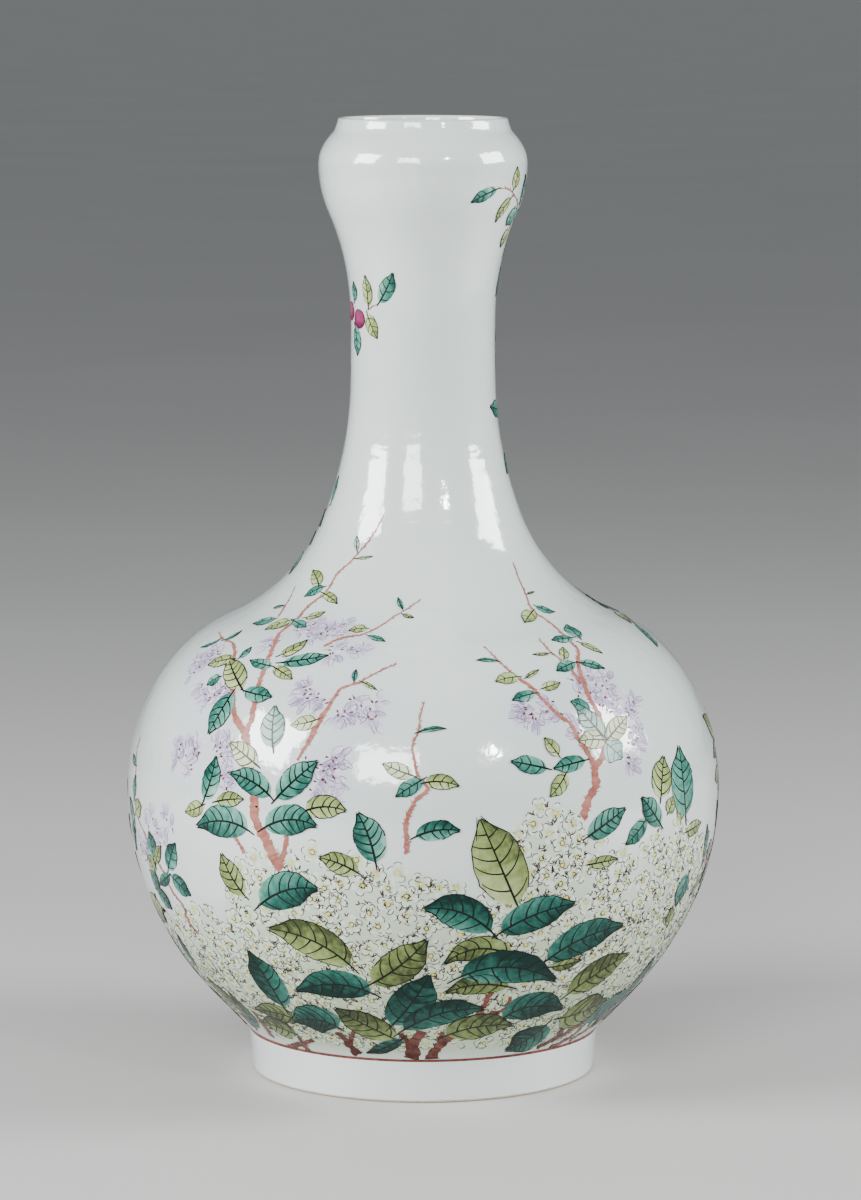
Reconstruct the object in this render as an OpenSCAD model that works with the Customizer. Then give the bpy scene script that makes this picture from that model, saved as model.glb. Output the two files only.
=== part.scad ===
// Garlic-head vase: a globular porcelain bottle with a slender neck and a garlic-bulb mouth.
// It is thrown in five sections, and a ring of slip lutes each section to the next.

/* [Height] */
// Height from the foot rim to the top of the lip
total_h = 400; // [385:1:430]

/* [Foot] */
// Diameter of the foot at its top
foot_d = 147; // [140:1:152]
// How much further in the foot stands at the floor than at its top
foot_taper = 1.5; // [0.5:0.25:3]
// Height of the foot, from the floor to the body
foot_h = 17.5; // [14:0.5:22]
// Thickness of the foot wall where it meets the floor
foot_wall = 7; // [6:0.5:9]
// How much the foot wall thickens towards the body
foot_draft = 2.5; // [1:0.5:4]
// Rounding of the two edges of the foot rim
foot_edge_r = 1.5; // [1:0.25:2]
// Ledge left on top of the foot around the body
foot_ledge = 1; // [0.6:0.1:1.6]

/* [Body] */
// Height of the straight flare that the body rises with
flare_h = 18.5; // [14:0.5:22]
// How far the body spreads on each side over the straight flare
flare_spread = 17.5; // [15:0.5:20]
// Largest diameter of the body
belly_d = 249; // [240:1:258]
// Height of the largest diameter above the floor
belly_z = 121; // [116:1:126]
// Height at which the shoulder turns into the neck
shoulder_z = 193; // [188:1:198]
// Diameter at that turn
shoulder_d = 162.4; // [156:0.2:168]
// Lean of the wall from the upright at that turn
shoulder_lean = 66; // [62:0.5:70]

/* [Neck] */
// Diameter of the straight part of the neck
neck_d = 60.3; // [56:0.1:66]
// Length of the straight part of the neck
neck_straight = 23; // [18:0.5:30]
// Distance from the lip down to the top of that straight part
neck_drop = 83; // [78:0.5:88]

/* [Garlic head] */
// Largest diameter of the bulb
bulb_d = 86.8; // [82:0.2:92]
// Distance from the lip down to the largest diameter of the bulb
bulb_drop = 19; // [17:0.5:21]
// How far inside the bulb's largest radius the neck turns into the bulb
spring_in = 4.3; // [3.5:0.1:6]
// Distance from the lip down to that turn
spring_drop = 39.3; // [36:0.1:42]
// Lean of the wall from the upright at that turn
spring_lean = 23.8; // [20:0.2:28]

/* [Mouth] */
// How far inside the bulb's largest radius the collar stands
collar_in = 6.9; // [6:0.1:8]
// Height of the collar
collar_h = 5.2; // [4:0.1:7]
// Lean of the bulb from the upright where the collar stands
collar_lean = 46; // [42:0.5:50]
// Thickness of the collar where it stands on the bulb
collar_wall = 3.5; // [3:0.1:5]
// Thickness of the rounded lip
lip_t = 2.3; // [2:0.1:2.6]

/* [Walls] */
// Wall of the body above the flare
flare_wall = 6; // [5:0.25:7]
// Wall of the body at the belly
belly_wall = 5; // [4:0.25:6]
// Wall of the neck
neck_wall = 4.5; // [3.5:0.25:5.5]
// Wall of the garlic head
bulb_wall = 4; // [3.5:0.25:5]
// Thickness of the floor at its middle
floor_t = 7; // [6:0.25:9]

/* [Luting] */
// Height above the floor of the joint between body and neck
neck_joint_z = 215; // [208:1:225]
// Distance from the lip down to the joint between neck and garlic head
head_joint_drop = 62; // [58:0.5:68]
// Thickness of the slip in a joint
slip_t = 0.8; // [0.5:0.1:1.2]
// Thickness of the slip wiped over a joint inside
wipe_t = 1; // [0.6:0.1:1.5]
// Height of the slip wiped over a joint inside
wipe_h = 6; // [4:0.5:9]

/* [Hidden] */
$fn = 96;
PORCELAIN = [0.85, 0.88, 0.87];
SLIP = [0.93, 0.92, 0.88];
IRON_RED = [0.68, 0.22, 0.13];
foot_r = foot_d / 2;
foot_rim_r = foot_r - foot_taper;
recess_rim_r = foot_rim_r - foot_wall;
recess_r = recess_rim_r - foot_draft;
body_foot_r = foot_r - foot_ledge;
flare_z = foot_h + flare_h;
flare_lean = atan2(flare_spread, flare_h);
floor_z = foot_h + floor_t;
neck_top_z = total_h - neck_drop;
neck_low_z = neck_top_z - neck_straight;
spring_z = total_h - spring_drop;
bulb_z = total_h - bulb_drop;
collar_z = total_h - collar_h;
bulb_r = bulb_d / 2;
collar_r = bulb_r - collar_in;
mouth_r = collar_r - collar_wall;
lip_r = lip_t / 2;
head_joint_z = total_h - head_joint_drop;
arc_step = 2.5;
edge_steps = 8;

// Stations of the outside: radius, height, and lean from the upright, outwards positive
FOOT = [body_foot_r, foot_h, flare_lean];
FLARE = [body_foot_r + flare_spread, flare_z, flare_lean];
BELLY = [belly_d / 2, belly_z, 0];
SHOULDER = [shoulder_d / 2, shoulder_z, -shoulder_lean];
NECK_LOW = [neck_d / 2, neck_low_z, 0];
NECK_TOP = [neck_d / 2, neck_top_z, 0];
SPRING = [bulb_r - spring_in, spring_z, spring_lean];
BULB = [bulb_r, bulb_z, 0];
COLLAR = [collar_r, collar_z, -collar_lean];
OUTSIDE = [FOOT, FLARE, BELLY, SHOULDER, NECK_LOW, NECK_TOP, SPRING, BULB, COLLAR];

// Stations of the inside: the outside moved in by the wall, from the edge of the flat floor to the mouth
FLARE_IN = inset(FLARE, flare_wall);
floor_edge_r = FLARE_IN[0] - (FLARE_IN[1] - floor_z) * (tan(flare_lean) + 1 / cos(flare_lean));
FLOOR_EDGE = [floor_edge_r, floor_z, 90];
MOUTH = [mouth_r, collar_z - lip_r, -collar_lean];
INSIDE = [FLOOR_EDGE, FLARE_IN, inset(BELLY, belly_wall), inset(SHOULDER, belly_wall),
          inset(NECK_LOW, neck_wall), inset(NECK_TOP, neck_wall), inset(SPRING, bulb_wall),
          inset(BULB, bulb_wall), MOUTH];

function heading(lean) = [sin(lean), cos(lean)];
function inward(lean) = [-cos(lean), sin(lean)];
function place(s) = [s[0], s[1]];
function inset(s, wall) = [s[0] - wall * cos(s[2]), s[1] + wall * sin(s[2]), s[2]];
function is_straight(s, e) = abs(inward(s[2]) * (place(e) - place(s))) < 1e-6 && abs(s[2] - e[2]) < 1e-6;

// Length of the two equal handles of the pair of arcs that joins stations s and e
function handle(s, e) =
    let (t = heading(s[2]), u = heading(e[2]), v = place(e) - place(s),
         along = v * (t + u), turn = 2 * (1 - t * u))
    turn < 1e-9 ? v * v / (2 * along) : (sqrt(along * along + turn * (v * v)) - along) / turn;

// Station where that pair of arcs meets
function meeting(s, e) =
    let (h = handle(s, e), a = place(s) + h * heading(s[2]), b = place(e) - h * heading(e[2]),
         m = (a + b) / 2)
    [m[0], m[1], atan2(b[0] - a[0], b[1] - a[1])];

// Points along the arc from station s up to, but without, station e
function arc_points(s, e) =
    let (turn = e[2] - s[2], n = ceil(abs(turn) / arc_step), v = place(e) - place(s),
         rad = v * v / (2 * (inward(s[2]) * v)), centre = place(s) + rad * inward(s[2]))
    [for (i = [0 : n - 1]) centre - rad * inward(s[2] + turn * i / n)];

// Points along the profile from station s up to, but without, station e
function span_points(s, e) =
    is_straight(s, e) ? [place(s)] : concat(arc_points(s, meeting(s, e)), arc_points(meeting(s, e), e));

// Points along a whole row of stations
function profile_points(stations) =
    let (last = len(stations) - 1)
    concat([for (i = [0 : last - 1]) each span_points(stations[i], stations[i + 1])], [place(stations[last])]);

// Points of a rounded edge about a centre, between two angles
function edge_points(centre, rad, from, to) =
    [for (i = [0 : edge_steps]) centre + rad * [cos(from + (to - from) * i / edge_steps),
                                                sin(from + (to - from) * i / edge_steps)]];

// Area between the axis and a row of stations
module profile_area(stations) {
    points = profile_points(stations);
    polygon(concat([[0, points[0][1]]], points, [[0, points[len(points) - 1][1]]]));
}

// Everything between two heights, on the positive side of the axis
module band(low, high) {
    translate([0, low])
        square([belly_d, high - low]);
}

// Cut through the wall of body, neck and bulb between two heights
module wall_between(low, high) {
    intersection() {
        difference() {
            profile_area(OUTSIDE);
            profile_area(INSIDE);
        }
        band(low, high);
    }
}

// Ring of slip at height z: it fills the joint and is wiped over it inside
module luting_ring(z) {
    rotate_extrude()
        intersection() {
            difference() {
                profile_area(OUTSIDE);
                translate([-wipe_t, 0])
                    profile_area(INSIDE);
            }
            union() {
                band(z - slip_t / 2, z + slip_t / 2);
                intersection() {
                    band(z - wipe_h / 2, z + wipe_h / 2);
                    profile_area(INSIDE);
                }
            }
        }
}

// Turned foot with a rounded rim and a recess inside
module foot_ring() {
    inner_edge = [recess_rim_r + foot_edge_r, foot_edge_r];
    outer_edge = [foot_rim_r - foot_edge_r, foot_edge_r];
    color(PORCELAIN)
        rotate_extrude()
            polygon(concat([[foot_r, foot_h - slip_t], [recess_r, foot_h - slip_t]],
                           edge_points(inner_edge, foot_edge_r, 180, 270),
                           edge_points(outer_edge, foot_edge_r, 270, 360)));
}

// Slip between the foot and the underside of the body, with a bevel inside the recess
module foot_luting() {
    color(SLIP)
        rotate_extrude()
            polygon([[recess_r - wipe_t, foot_h], [foot_r, foot_h],
                     [foot_r, foot_h - slip_t], [recess_r, foot_h - slip_t]]);
}

// Iron-red line of enamel in the angle between the ledge of the foot and the body
module foot_line() {
    color(IRON_RED)
        rotate_extrude()
            polygon([[body_foot_r, foot_h], [foot_r, foot_h],
                     [foot_r, foot_h + foot_ledge / tan(flare_lean)]]);
}

// Lower half of the globe, with the dished floor
module lower_body() {
    color(PORCELAIN)
        rotate_extrude()
            wall_between(foot_h, belly_z - slip_t / 2);
}

module belly_luting() {
    color(SLIP)
        luting_ring(belly_z);
}

// Upper half of the globe, with the shoulder
module upper_body() {
    color(PORCELAIN)
        rotate_extrude()
            wall_between(belly_z + slip_t / 2, neck_joint_z - slip_t / 2);
}

module neck_luting() {
    color(SLIP)
        luting_ring(neck_joint_z);
}

module neck() {
    color(PORCELAIN)
        rotate_extrude()
            wall_between(neck_joint_z + slip_t / 2, head_joint_z - slip_t / 2);
}

module head_luting() {
    color(SLIP)
        luting_ring(head_joint_z);
}

// Garlic bulb with the upright collar and rounded lip of the mouth
module garlic_head() {
    lip = [mouth_r + lip_r, total_h - lip_r];
    color(PORCELAIN)
        rotate_extrude()
            intersection() {
                difference() {
                    polygon(concat([[0, 0]], profile_points(OUTSIDE), edge_points(lip, lip_r, 0, 180),
                                   [[mouth_r, MOUTH[1]], [0, MOUTH[1]]]));
                    profile_area(INSIDE);
                }
                band(head_joint_z + slip_t / 2, total_h);
            }
}

foot_ring();
foot_luting();
foot_line();
lower_body();
belly_luting();
upper_body();
neck_luting();
neck();
head_luting();
garlic_head();
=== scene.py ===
"""The looks of a garlic head vase: porcelain thrown in sections, glazed white, and painted over the glaze
in enamels with flowering shrubs. Lengths on the vase are in millimetres, and MM turns them into metres.

The painting is planned on flat sheets that stand upright through the vase's axis, x to the right and h up.
The front sheet is carried onto the glaze along the line of sight of the photograph. The sheets of the right
and left sides are carried straight, each place at its own height. On the glaze a place is a turn round the
axis, in radians from the front, and a run, the length along the profile from the foot. Most of the painting
is a pattern that is laid twice, on two opposite halves of the vase."""
import functools
import math

import bpy
import numpy as np
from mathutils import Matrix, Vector


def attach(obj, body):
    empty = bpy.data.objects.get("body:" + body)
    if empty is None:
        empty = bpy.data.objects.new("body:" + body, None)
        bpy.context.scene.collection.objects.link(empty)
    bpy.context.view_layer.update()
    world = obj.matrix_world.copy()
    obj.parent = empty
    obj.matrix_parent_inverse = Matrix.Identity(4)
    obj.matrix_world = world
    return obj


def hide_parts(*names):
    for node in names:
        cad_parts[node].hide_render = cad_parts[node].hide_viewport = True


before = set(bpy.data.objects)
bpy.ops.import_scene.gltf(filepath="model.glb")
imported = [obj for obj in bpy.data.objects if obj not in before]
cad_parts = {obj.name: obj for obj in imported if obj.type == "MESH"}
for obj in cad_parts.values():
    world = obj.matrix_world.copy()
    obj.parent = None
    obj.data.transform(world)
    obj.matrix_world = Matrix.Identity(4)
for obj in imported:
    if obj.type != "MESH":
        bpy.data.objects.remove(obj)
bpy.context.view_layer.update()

MM = 0.001
draw = np.random.default_rng(11)

# The eye of the photograph
EYE = np.array((0.0, -2015.0, 461.0))
LOOK_DOWN = math.radians(7.42)
LOOK_RIGHT = math.radians(0.089)
LENS = 145.4
# Where the search along a line of sight starts, as a share of the way to the sheet, and its steps
SIGHT_START = 0.93
SIGHT_STEPS = 500

# The lathe work
CLAY_NODES = ("foot_ring", "foot_luting", "lower_body", "belly_luting", "upper_body", "neck_luting", "neck",
              "head_luting", "garlic_head")
SKIN_NODES = ("lower_body", "upper_body", "neck", "garlic_head")
SEAM_REACH = 1e-6
CORNER = math.radians(35)
RING_STEP = 1.5
SEGMENTS = 360
SKIN_STEP = 0.4
SKIN_REACH = 0.05
# How far the smooth outer skin stops short of the foot and of the lip
FOOT_END = 1e-3
LIP_END = 1.0

# The glaze is set in by this much at the belly, so that the raised enamel stays inside the CAD solid's box
ENAMEL_ROOM = 0.4
ENAMEL_ROOM_SPAN = 30.0

# The glaze pools in the corner under the lip's collar: at what height, over how many samples, and how far
COLLAR_Z = 394.8
COLLAR_WINDOW = 11
COLLAR_SPAN = 2.5

# How high the enamels lie on the glaze, and how deep they are fused into it
FUSED = 0.05
PETAL_LIFT = 0.04
FINE_LIFT = 0.09
BRANCH_LIFT = 0.14
LEAF_LIFT = 0.18
LEAF_LAYER = 0.03
LEAF_LAYERS = 6
LINE_OVER_LEAF = 0.06


# Shapes that the rest is made from

def spline(points, step):
    """A smooth curve through the points, cut into lengths of about step."""
    p = np.asarray(points, float)
    chord = np.diff(p, axis=0)
    length = np.linalg.norm(chord, axis=1)
    slope = chord / length[:, None]
    tangent = np.vstack((slope[:1], slope))
    if len(p) > 2:
        behind, ahead = length[:-1, None], length[1:, None]
        inner = (slope[:-1] * ahead + slope[1:] * behind) / (ahead + behind)
        tangent = np.vstack((2 * slope[:1] - inner[:1], inner, 2 * slope[-1:] - inner[-1:]))
    curve = []
    for i, size in enumerate(length):
        count = max(1, round(size / step))
        t = np.arange(count)[:, None] / count
        curve.append((1 + 2 * t) * (1 - t) ** 2 * p[i] + t * t * (3 - 2 * t) * p[i + 1]
                     + size * t * (1 - t) * ((1 - t) * tangent[i] - t * tangent[i + 1]))
    curve.append(p[-1:])
    return np.vstack(curve)


def smoothstep(x):
    x = np.clip(x, 0, 1)
    return x * x * (3 - 2 * x)


def place_object(name, data):
    made = bpy.data.objects.new(name, data)
    bpy.context.scene.collection.objects.link(made)
    return made


def new_piece(name, points, faces, finish):
    """A smooth mesh piece that rides on the vase's one body."""
    mesh = bpy.data.meshes.new(name)
    mesh.from_pydata((points * MM).tolist(), [], faces)
    mesh.shade_smooth()
    mesh.materials.append(finish)
    piece = place_object(name, mesh)
    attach(piece, "root")
    return piece


def give(mesh, name, values):
    """Stores one number for each point of the mesh, for its material to read."""
    layer = mesh.attributes.new(name, "FLOAT", "POINT")
    layer.data.foreach_set("value", np.ascontiguousarray(values, np.float32))


# The profile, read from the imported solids

def half_section(node):
    """The node's half section as a loop of (radius, height), its outer side going up."""
    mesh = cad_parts[node].data
    place = {}
    for vertex in mesh.vertices:
        x, y, z = vertex.co
        if abs(y) < SEAM_REACH and x > 0:
            place[vertex.index] = (round(x / MM, 3), round(z / MM, 3))
    links = {}
    for edge in mesh.edges:
        a, b = (place.get(i) for i in edge.vertices)
        if a and b and a != b:
            links.setdefault(a, set()).add(b)
            links.setdefault(b, set()).add(a)
    ends = sorted(p for p in links if len(links[p]) == 1)
    chain = [ends[-1] if ends else max(links)]
    while True:
        ahead = sorted(p for p in links[chain[-1]] if p not in chain)
        if not ahead:
            break
        chain.append(ahead[-1])
    if ends:
        chain = [(0.0, chain[0][1])] + chain + [(0.0, chain[-1][1])]
    loop = np.array(chain)
    r, z = loop.T
    area = np.sum(r * np.roll(z, -1) - np.roll(r, -1) * z)
    return loop if area > 0 else loop[::-1]


def outer_points():
    """The points of the outer skin from the foot to the lip, from the sides that go up."""
    found = {}
    for node in SKIN_NODES:
        loop = half_section(node)
        for (r0, z0), (r1, z1) in zip(loop, np.roll(loop, -1, axis=0)):
            if z1 > z0 and r0 > 0:
                found[round(z0, 3)] = r0
                found[round(z1, 3)] = r1
    return [(found[z], z) for z in sorted(found)]


SKIN = spline(outer_points(), SKIN_STEP)
CAD_R, SKIN_Z = SKIN.T
BELLY_Z = SKIN_Z[np.argmax(CAD_R)]
SHARES = np.ones(COLLAR_WINDOW) / COLLAR_WINDOW
POOLED_R = np.convolve(np.pad(CAD_R, COLLAR_WINDOW // 2, "edge"), SHARES, "valid")
SKIN_R = CAD_R - ENAMEL_ROOM * np.exp(-((SKIN_Z - BELLY_Z) / ENAMEL_ROOM_SPAN) ** 2)
SKIN_R += np.maximum(POOLED_R - CAD_R, 0) * np.exp(-((SKIN_Z - COLLAR_Z) / COLLAR_SPAN) ** 2)
SKIN_RUN = np.concatenate(([0], np.cumsum(np.hypot(np.diff(SKIN_R), np.diff(SKIN_Z)))))
SKIN_LEAN_R = np.gradient(SKIN_Z, SKIN_RUN)
SKIN_LEAN_Z = -np.gradient(SKIN_R, SKIN_RUN)


def radius_at(run):
    return np.interp(run, SKIN_RUN, SKIN_R)


def run_at(z):
    return np.interp(z, SKIN_Z, SKIN_RUN)


def on_skin(turn, run, lift):
    """Points in mm at a lift above the glaze, and the glaze's normals there."""
    out = np.interp(run, SKIN_RUN, SKIN_LEAN_R)
    up = np.interp(run, SKIN_RUN, SKIN_LEAN_Z)
    r = radius_at(run) + lift * out
    z = np.interp(run, SKIN_RUN, SKIN_Z) + lift * up
    points = np.stack((r * np.sin(turn), -r * np.cos(turn), z), -1)
    normals = np.stack((out * np.sin(turn), -out * np.cos(turn), up), -1)
    return points, normals


def from_front(places):
    """Carries (x, h) places of the front sheet along the line of sight to (turn, run) on the glaze.
    A place just outside the outline goes to the outline."""
    places = np.asarray(places, float).reshape(-1, 2)
    sheet = np.stack((places[:, 0], np.zeros(len(places)), places[:, 1]), -1)
    way = np.linspace(SIGHT_START, 1.0, SIGHT_STEPS)[:, None, None]
    ray = EYE + way * (sheet - EYE)
    gap = np.hypot(ray[..., 0], ray[..., 1]) - np.interp(ray[..., 2], SKIN_Z, SKIN_R)
    inside = gap < 0
    first = np.where(inside.any(0), inside.argmax(0), gap.argmin(0))
    hit = ray[first, np.arange(len(places))]
    return np.arctan2(hit[:, 0], -hit[:, 1]), run_at(hit[:, 2])


def from_right(places):
    """Carries (x, h) places of the right side's sheet straight to (turn, run) on the glaze."""
    x, h = np.asarray(places, float).reshape(-1, 2).T
    run = run_at(h)
    return math.pi / 2 + np.arcsin(x / radius_at(run)), run


def from_left(places):
    """Does the same for the left side's sheet."""
    turn, run = from_right(places)
    return turn + math.pi, run


def half_turn(turn):
    """The turn brought within a quarter round of the front, because the pattern repeats every half round."""
    return (turn + math.pi / 2) % math.pi - math.pi / 2


# Raised enamel

class Paint:
    """Enamel of one colour, gathered as closed shapes over (turn, run, lift), each point with a tone.
    Shapes added before end_pattern are laid on both halves of the vase, and later ones once."""

    def __init__(self):
        self.points = []
        self.faces = []
        self.count = 0
        self.pattern_points = 0
        self.pattern_faces = 0

    def add(self, turn, run, lift, tone, faces):
        block = np.stack([np.ravel(a) for a in np.broadcast_arrays(turn, run, lift, tone)], -1)
        self.points.append(block)
        self.faces.append(faces + self.count)
        self.count += len(block)

    def end_pattern(self):
        self.pattern_points = self.count
        self.pattern_faces = sum(len(faces) for faces in self.faces)


@functools.lru_cache(None)
def ribbon_faces(stations, across):
    """Triangles of a ribbon: the top points of each station, then one keel point below them."""
    loop = across + 1
    first = (np.arange(stations - 1) * loop)[:, None]
    j = np.arange(loop)[None, :]
    a, b = (first + j).ravel(), (first + (j + 1) % loop).ravel()
    c, d = a + loop, b + loop
    fan = np.arange(1, loop - 1)
    zero = np.zeros_like(fan)
    last = (stations - 1) * loop
    return np.vstack((np.stack((a, c, d), -1), np.stack((a, d, b), -1),
                      np.stack((zero, fan, fan + 1), -1),
                      np.stack((zero, fan + 1, fan), -1) + last))


def ribbon(paint, turn, run, width, lift, tone=0.5, across=2, crown=0.0):
    """A stroke along (turn, run), with a flat or crowned top and a keel fused into the glaze."""
    turn, run = np.asarray(turn), np.asarray(run)
    radius = radius_at(run)
    du, dv = np.gradient(turn) * radius, np.gradient(run)
    size = np.maximum(np.hypot(du, dv), 1e-9)
    k = np.append(np.linspace(-1, 1, across), 0.0)
    reach = np.broadcast_to(width, turn.shape)[:, None] / 2 * k
    rise = np.broadcast_to(lift + crown * (1 - k * k), reach.shape).copy()
    rise[:, -1] = -FUSED
    shade = np.asarray(tone, float).reshape(-1, 1) if np.ndim(tone) == 1 else tone
    across_turn = turn[:, None] - (dv / size / radius)[:, None] * reach
    across_run = run[:, None] + (du / size)[:, None] * reach
    paint.add(across_turn, across_run, rise, shade, ribbon_faces(len(turn), across))


@functools.lru_cache(None)
def blob_faces(sides):
    """Triangles of a blob: a middle on top, a ring, and a keel point below."""
    ring = np.arange(sides) + 1
    after = np.roll(ring, -1)
    top = np.zeros(sides, int)
    return np.vstack((np.stack((top, ring, after), -1), np.stack((top + sides + 1, after, ring), -1)))


def oval(long, wide, heading, angle, wobble=0.0):
    """Places on an oval round (0, 0) with its long side along the heading, and a wavy edge."""
    swell = 1 + wobble * np.sin(3 * angle + 7 * heading)
    ahead, aside = np.cos(angle) * swell * long / 2, np.sin(angle) * swell * wide / 2
    c, s = math.cos(heading), math.sin(heading)
    return np.stack((ahead * c - aside * s, ahead * s + aside * c), -1)


class Patch:
    """A flat working area of the glaze round one place: u round the vase and v up the profile, in mm."""

    def __init__(self, turn, run):
        self.turn = float(turn)
        self.run = float(run)

    def flat(self, turn, run):
        return np.stack(((turn - self.turn) * radius_at(run), run - self.run), -1)

    def place(self, uv):
        run = self.run + uv[..., 1]
        return self.turn + uv[..., 0] / radius_at(run), run

    def stroke(self, paint, uv, width, lift, tone=0.5, **shape):
        turn, run = self.place(np.asarray(uv, float))
        ribbon(paint, turn, run, width, lift, tone, **shape)

    def blob(self, paint, middle, long, wide, heading, lift, crown, tones, sides=10, wobble=0.0):
        """An oval drop of enamel, with tones for its middle and for the back and front of its heading."""
        angle = np.arange(sides) * math.tau / sides
        uv = np.vstack(([(0, 0)], oval(long, wide, heading, angle, wobble), [(0, 0)])) + middle
        turn, run = self.place(uv)
        rise = np.concatenate(([lift + crown], np.full(sides, lift), [-FUSED]))
        inner, back, front = tones
        edge = back + (front - back) * (0.5 + 0.5 * np.cos(angle))
        paint.add(turn, run, rise, np.concatenate(([inner], edge, [inner])), blob_faces(sides))


def patch_at(sheet, x, h):
    turn, run = sheet((x, h))
    return Patch(turn[0], run[0])


def towards(angle, length=1.0):
    return np.array((math.cos(angle), math.sin(angle))) * length


turquoise, olive, lines = Paint(), Paint(), Paint()
branches, calyx = Paint(), Paint()
petals, petal_lines, stamens, hearts = Paint(), Paint(), Paint(), Paint()
lilac, lilac_lines, berries = Paint(), Paint(), Paint()


# Leaves

LEAF_STATIONS = 14
LEAF_ACROSS = 7
BASE_ROUND = 0.55
TIP_ROUND = 0.68
WIDEST = BASE_ROUND / (BASE_ROUND + TIP_ROUND)
# How much the tip is drawn in, from where along the midrib and over what share of it
DRAWN_OUT = 0.45
TIP_START = 0.7
TIP_SPAN = 0.28
LEAST_BREADTH = 0.04
LEAF_CROWN = 0.02
# Tone of the wash, its deepening from one height down, partly a deeper wash and partly painted shade, and how
# much paler a leaf painted as a highlight is
LEAF_TONE = 0.52
LOW_WASH_AND_SHADE = 0.36
LOW_FROM = 125.0
LOW_SPAN = 95.0
PAINTED_HIGHLIGHT_PALER = 0.40
# A vein's lean from the midrib, in degrees, from its start to VEIN_BEND half breadths of the leaf further on
VEIN_LEAN = (78.0, 6.0)
VEIN_BEND = 1.7
VEIN_SEARCH = 2.4
VEIN_STEPS = 60
VEIN_LEAST_STEPS = 5
VEIN_REACH = 0.93
VEIN_STATIONS = 7
VEIN_GAP = 4.4
VEIN_PAIRS = (2, 5)
FIRST_VEIN = 0.08
VEIN_SPREAD = 0.82
# Widths of the lines of a leaf that is FULL_LINES long or longer, and how thin those of small leaves get
MIDRIB_WIDTHS = (0.45, 1.0, 0.45)
VEIN_WIDTHS = (0.76, 0.34)
EDGE_WIDTHS = (0.26, 0.52)
FLICK_WIDTHS = (0.25, 0.45, 0.2)
FULL_LINES = 19.0
LEAST_LINES = 0.55
LINE_TONE = 0.2
# The lines of a leaf with a small letter are paler too, as painted highlight
PAINTED_HIGHLIGHT_PALER_LINE_TONE = 0.5
STALK = 0.15
MIDRIB_STATIONS = 12
EDGE_STATIONS = 14
# Where along the leaf its drawn edge starts, and the flick that carries it past the tip
TURQUOISE_EDGE = (0.3, 0.6)
OLIVE_EDGE = (0.04, 0.25)
FLICK_ALONG = (0.80, 0.90, 1.03)
FLICK_REACH = (1.2, 2.4)


def leaf_breadth(t):
    """Half breadth of a leaf along its midrib, 1 at its widest, round at the base, drawn out at the tip."""
    t = np.clip(t, 0, 1)
    full = (t / WIDEST) ** BASE_ROUND * ((1 - t) / (1 - WIDEST)) ** TIP_ROUND
    return np.maximum(full * (1 - DRAWN_OUT * smoothstep((t - TIP_START) / TIP_SPAN)), LEAST_BREADTH)


def quadratic(a, b, c, t):
    """A curve from a to c that passes through b half way."""
    t = np.asarray(t)[..., None]
    middle = 2 * b - (a + c) / 2
    return (1 - t) ** 2 * a + 2 * t * (1 - t) * middle + t * t * c


def leaf_plan(base, tip, width, arch):
    """Base, tip and middle of an arched leaf, and the two ends of its greatest breadth."""
    base, tip = np.array(base, float), np.array(tip, float)
    along = tip - base
    across = np.array((-along[1], along[0])) / np.linalg.norm(along)
    upward = across if across[1] >= 0 else -across
    middle = (base + tip) / 2 + upward * arch * np.linalg.norm(along)
    return base, tip, middle, middle - across * width / 2, middle + across * width / 2


class Blade:
    """A leaf laid out on a patch, from the five places of its plan on that patch."""

    def __init__(self, patch, plan):
        self.patch = patch
        self.base, self.tip, self.middle, right, left = plan
        reach = self.tip - self.base
        self.length = float(np.linalg.norm(reach))
        breadth = left - right
        self.half = abs(reach[0] * breadth[1] - reach[1] * breadth[0]) / self.length / 2

    def at(self, t, k):
        """The place at t along the midrib, and at k across, from -1 at the right edge to 1 at the left."""
        t = np.asarray(t, float)
        rib = quadratic(self.base, self.middle, self.tip, t)
        step = quadratic(self.base, self.middle, self.tip, t + 0.01) - rib
        left = np.stack((-step[..., 1], step[..., 0]), -1) / np.linalg.norm(step, axis=-1)[..., None]
        return rib + left * (np.asarray(k) * self.half * leaf_breadth(t))[..., None]

    def vein(self, start, side):
        """A side vein that leaves the midrib at start and bends towards the tip until it meets the edge."""
        way = np.linspace(0, VEIN_SEARCH * self.half, VEIN_STEPS)
        lean = np.radians(np.interp(way, (0, VEIN_BEND * self.half), VEIN_LEAN))
        ahead = start + (np.cumsum(np.cos(lean)) - np.cos(lean[0])) * way[1] / self.length
        out = (np.cumsum(np.sin(lean)) - np.sin(lean[0])) * way[1]
        room = self.half * leaf_breadth(ahead)
        beyond = np.nonzero(out > VEIN_REACH * room)[0]
        stop = max(VEIN_LEAST_STEPS, beyond[0] if len(beyond) else len(way) - 1)
        pick = np.linspace(0, stop, VEIN_STATIONS).round().astype(int)
        return self.at(ahead[pick], side * np.minimum(out / room, 1.0)[pick])


def leaf_tones(kind, height):
    """Tone of each point of a leaf's wash: deeper to one side and one end, deeper low on the vase, partly in
    the wash and partly as painted shade, and paler on a leaf painted as a highlight.
    """
    t = np.linspace(0, 1, LEAF_STATIONS)[:, None]
    k = np.append(np.linspace(-1, 1, LEAF_ACROSS), 0.0)[None, :]
    # Deeper low on the vase: partly a deeper wash, partly painted shade
    ground = LEAF_TONE + LOW_WASH_AND_SHADE * smoothstep((LOW_FROM - height) / LOW_SPAN)
    # A leaf with a small letter is painted paler: a painted highlight
    ground -= PAINTED_HIGHLIGHT_PALER if kind.islower() else 0
    slope, side = draw.uniform(0.05, 0.5), draw.choice((-1, 1)) * draw.uniform(0.08, 0.28)
    return ground + slope * (t - 0.5) + side * k + draw.normal(0, 0.05, (LEAF_STATIONS, 1))


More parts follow.
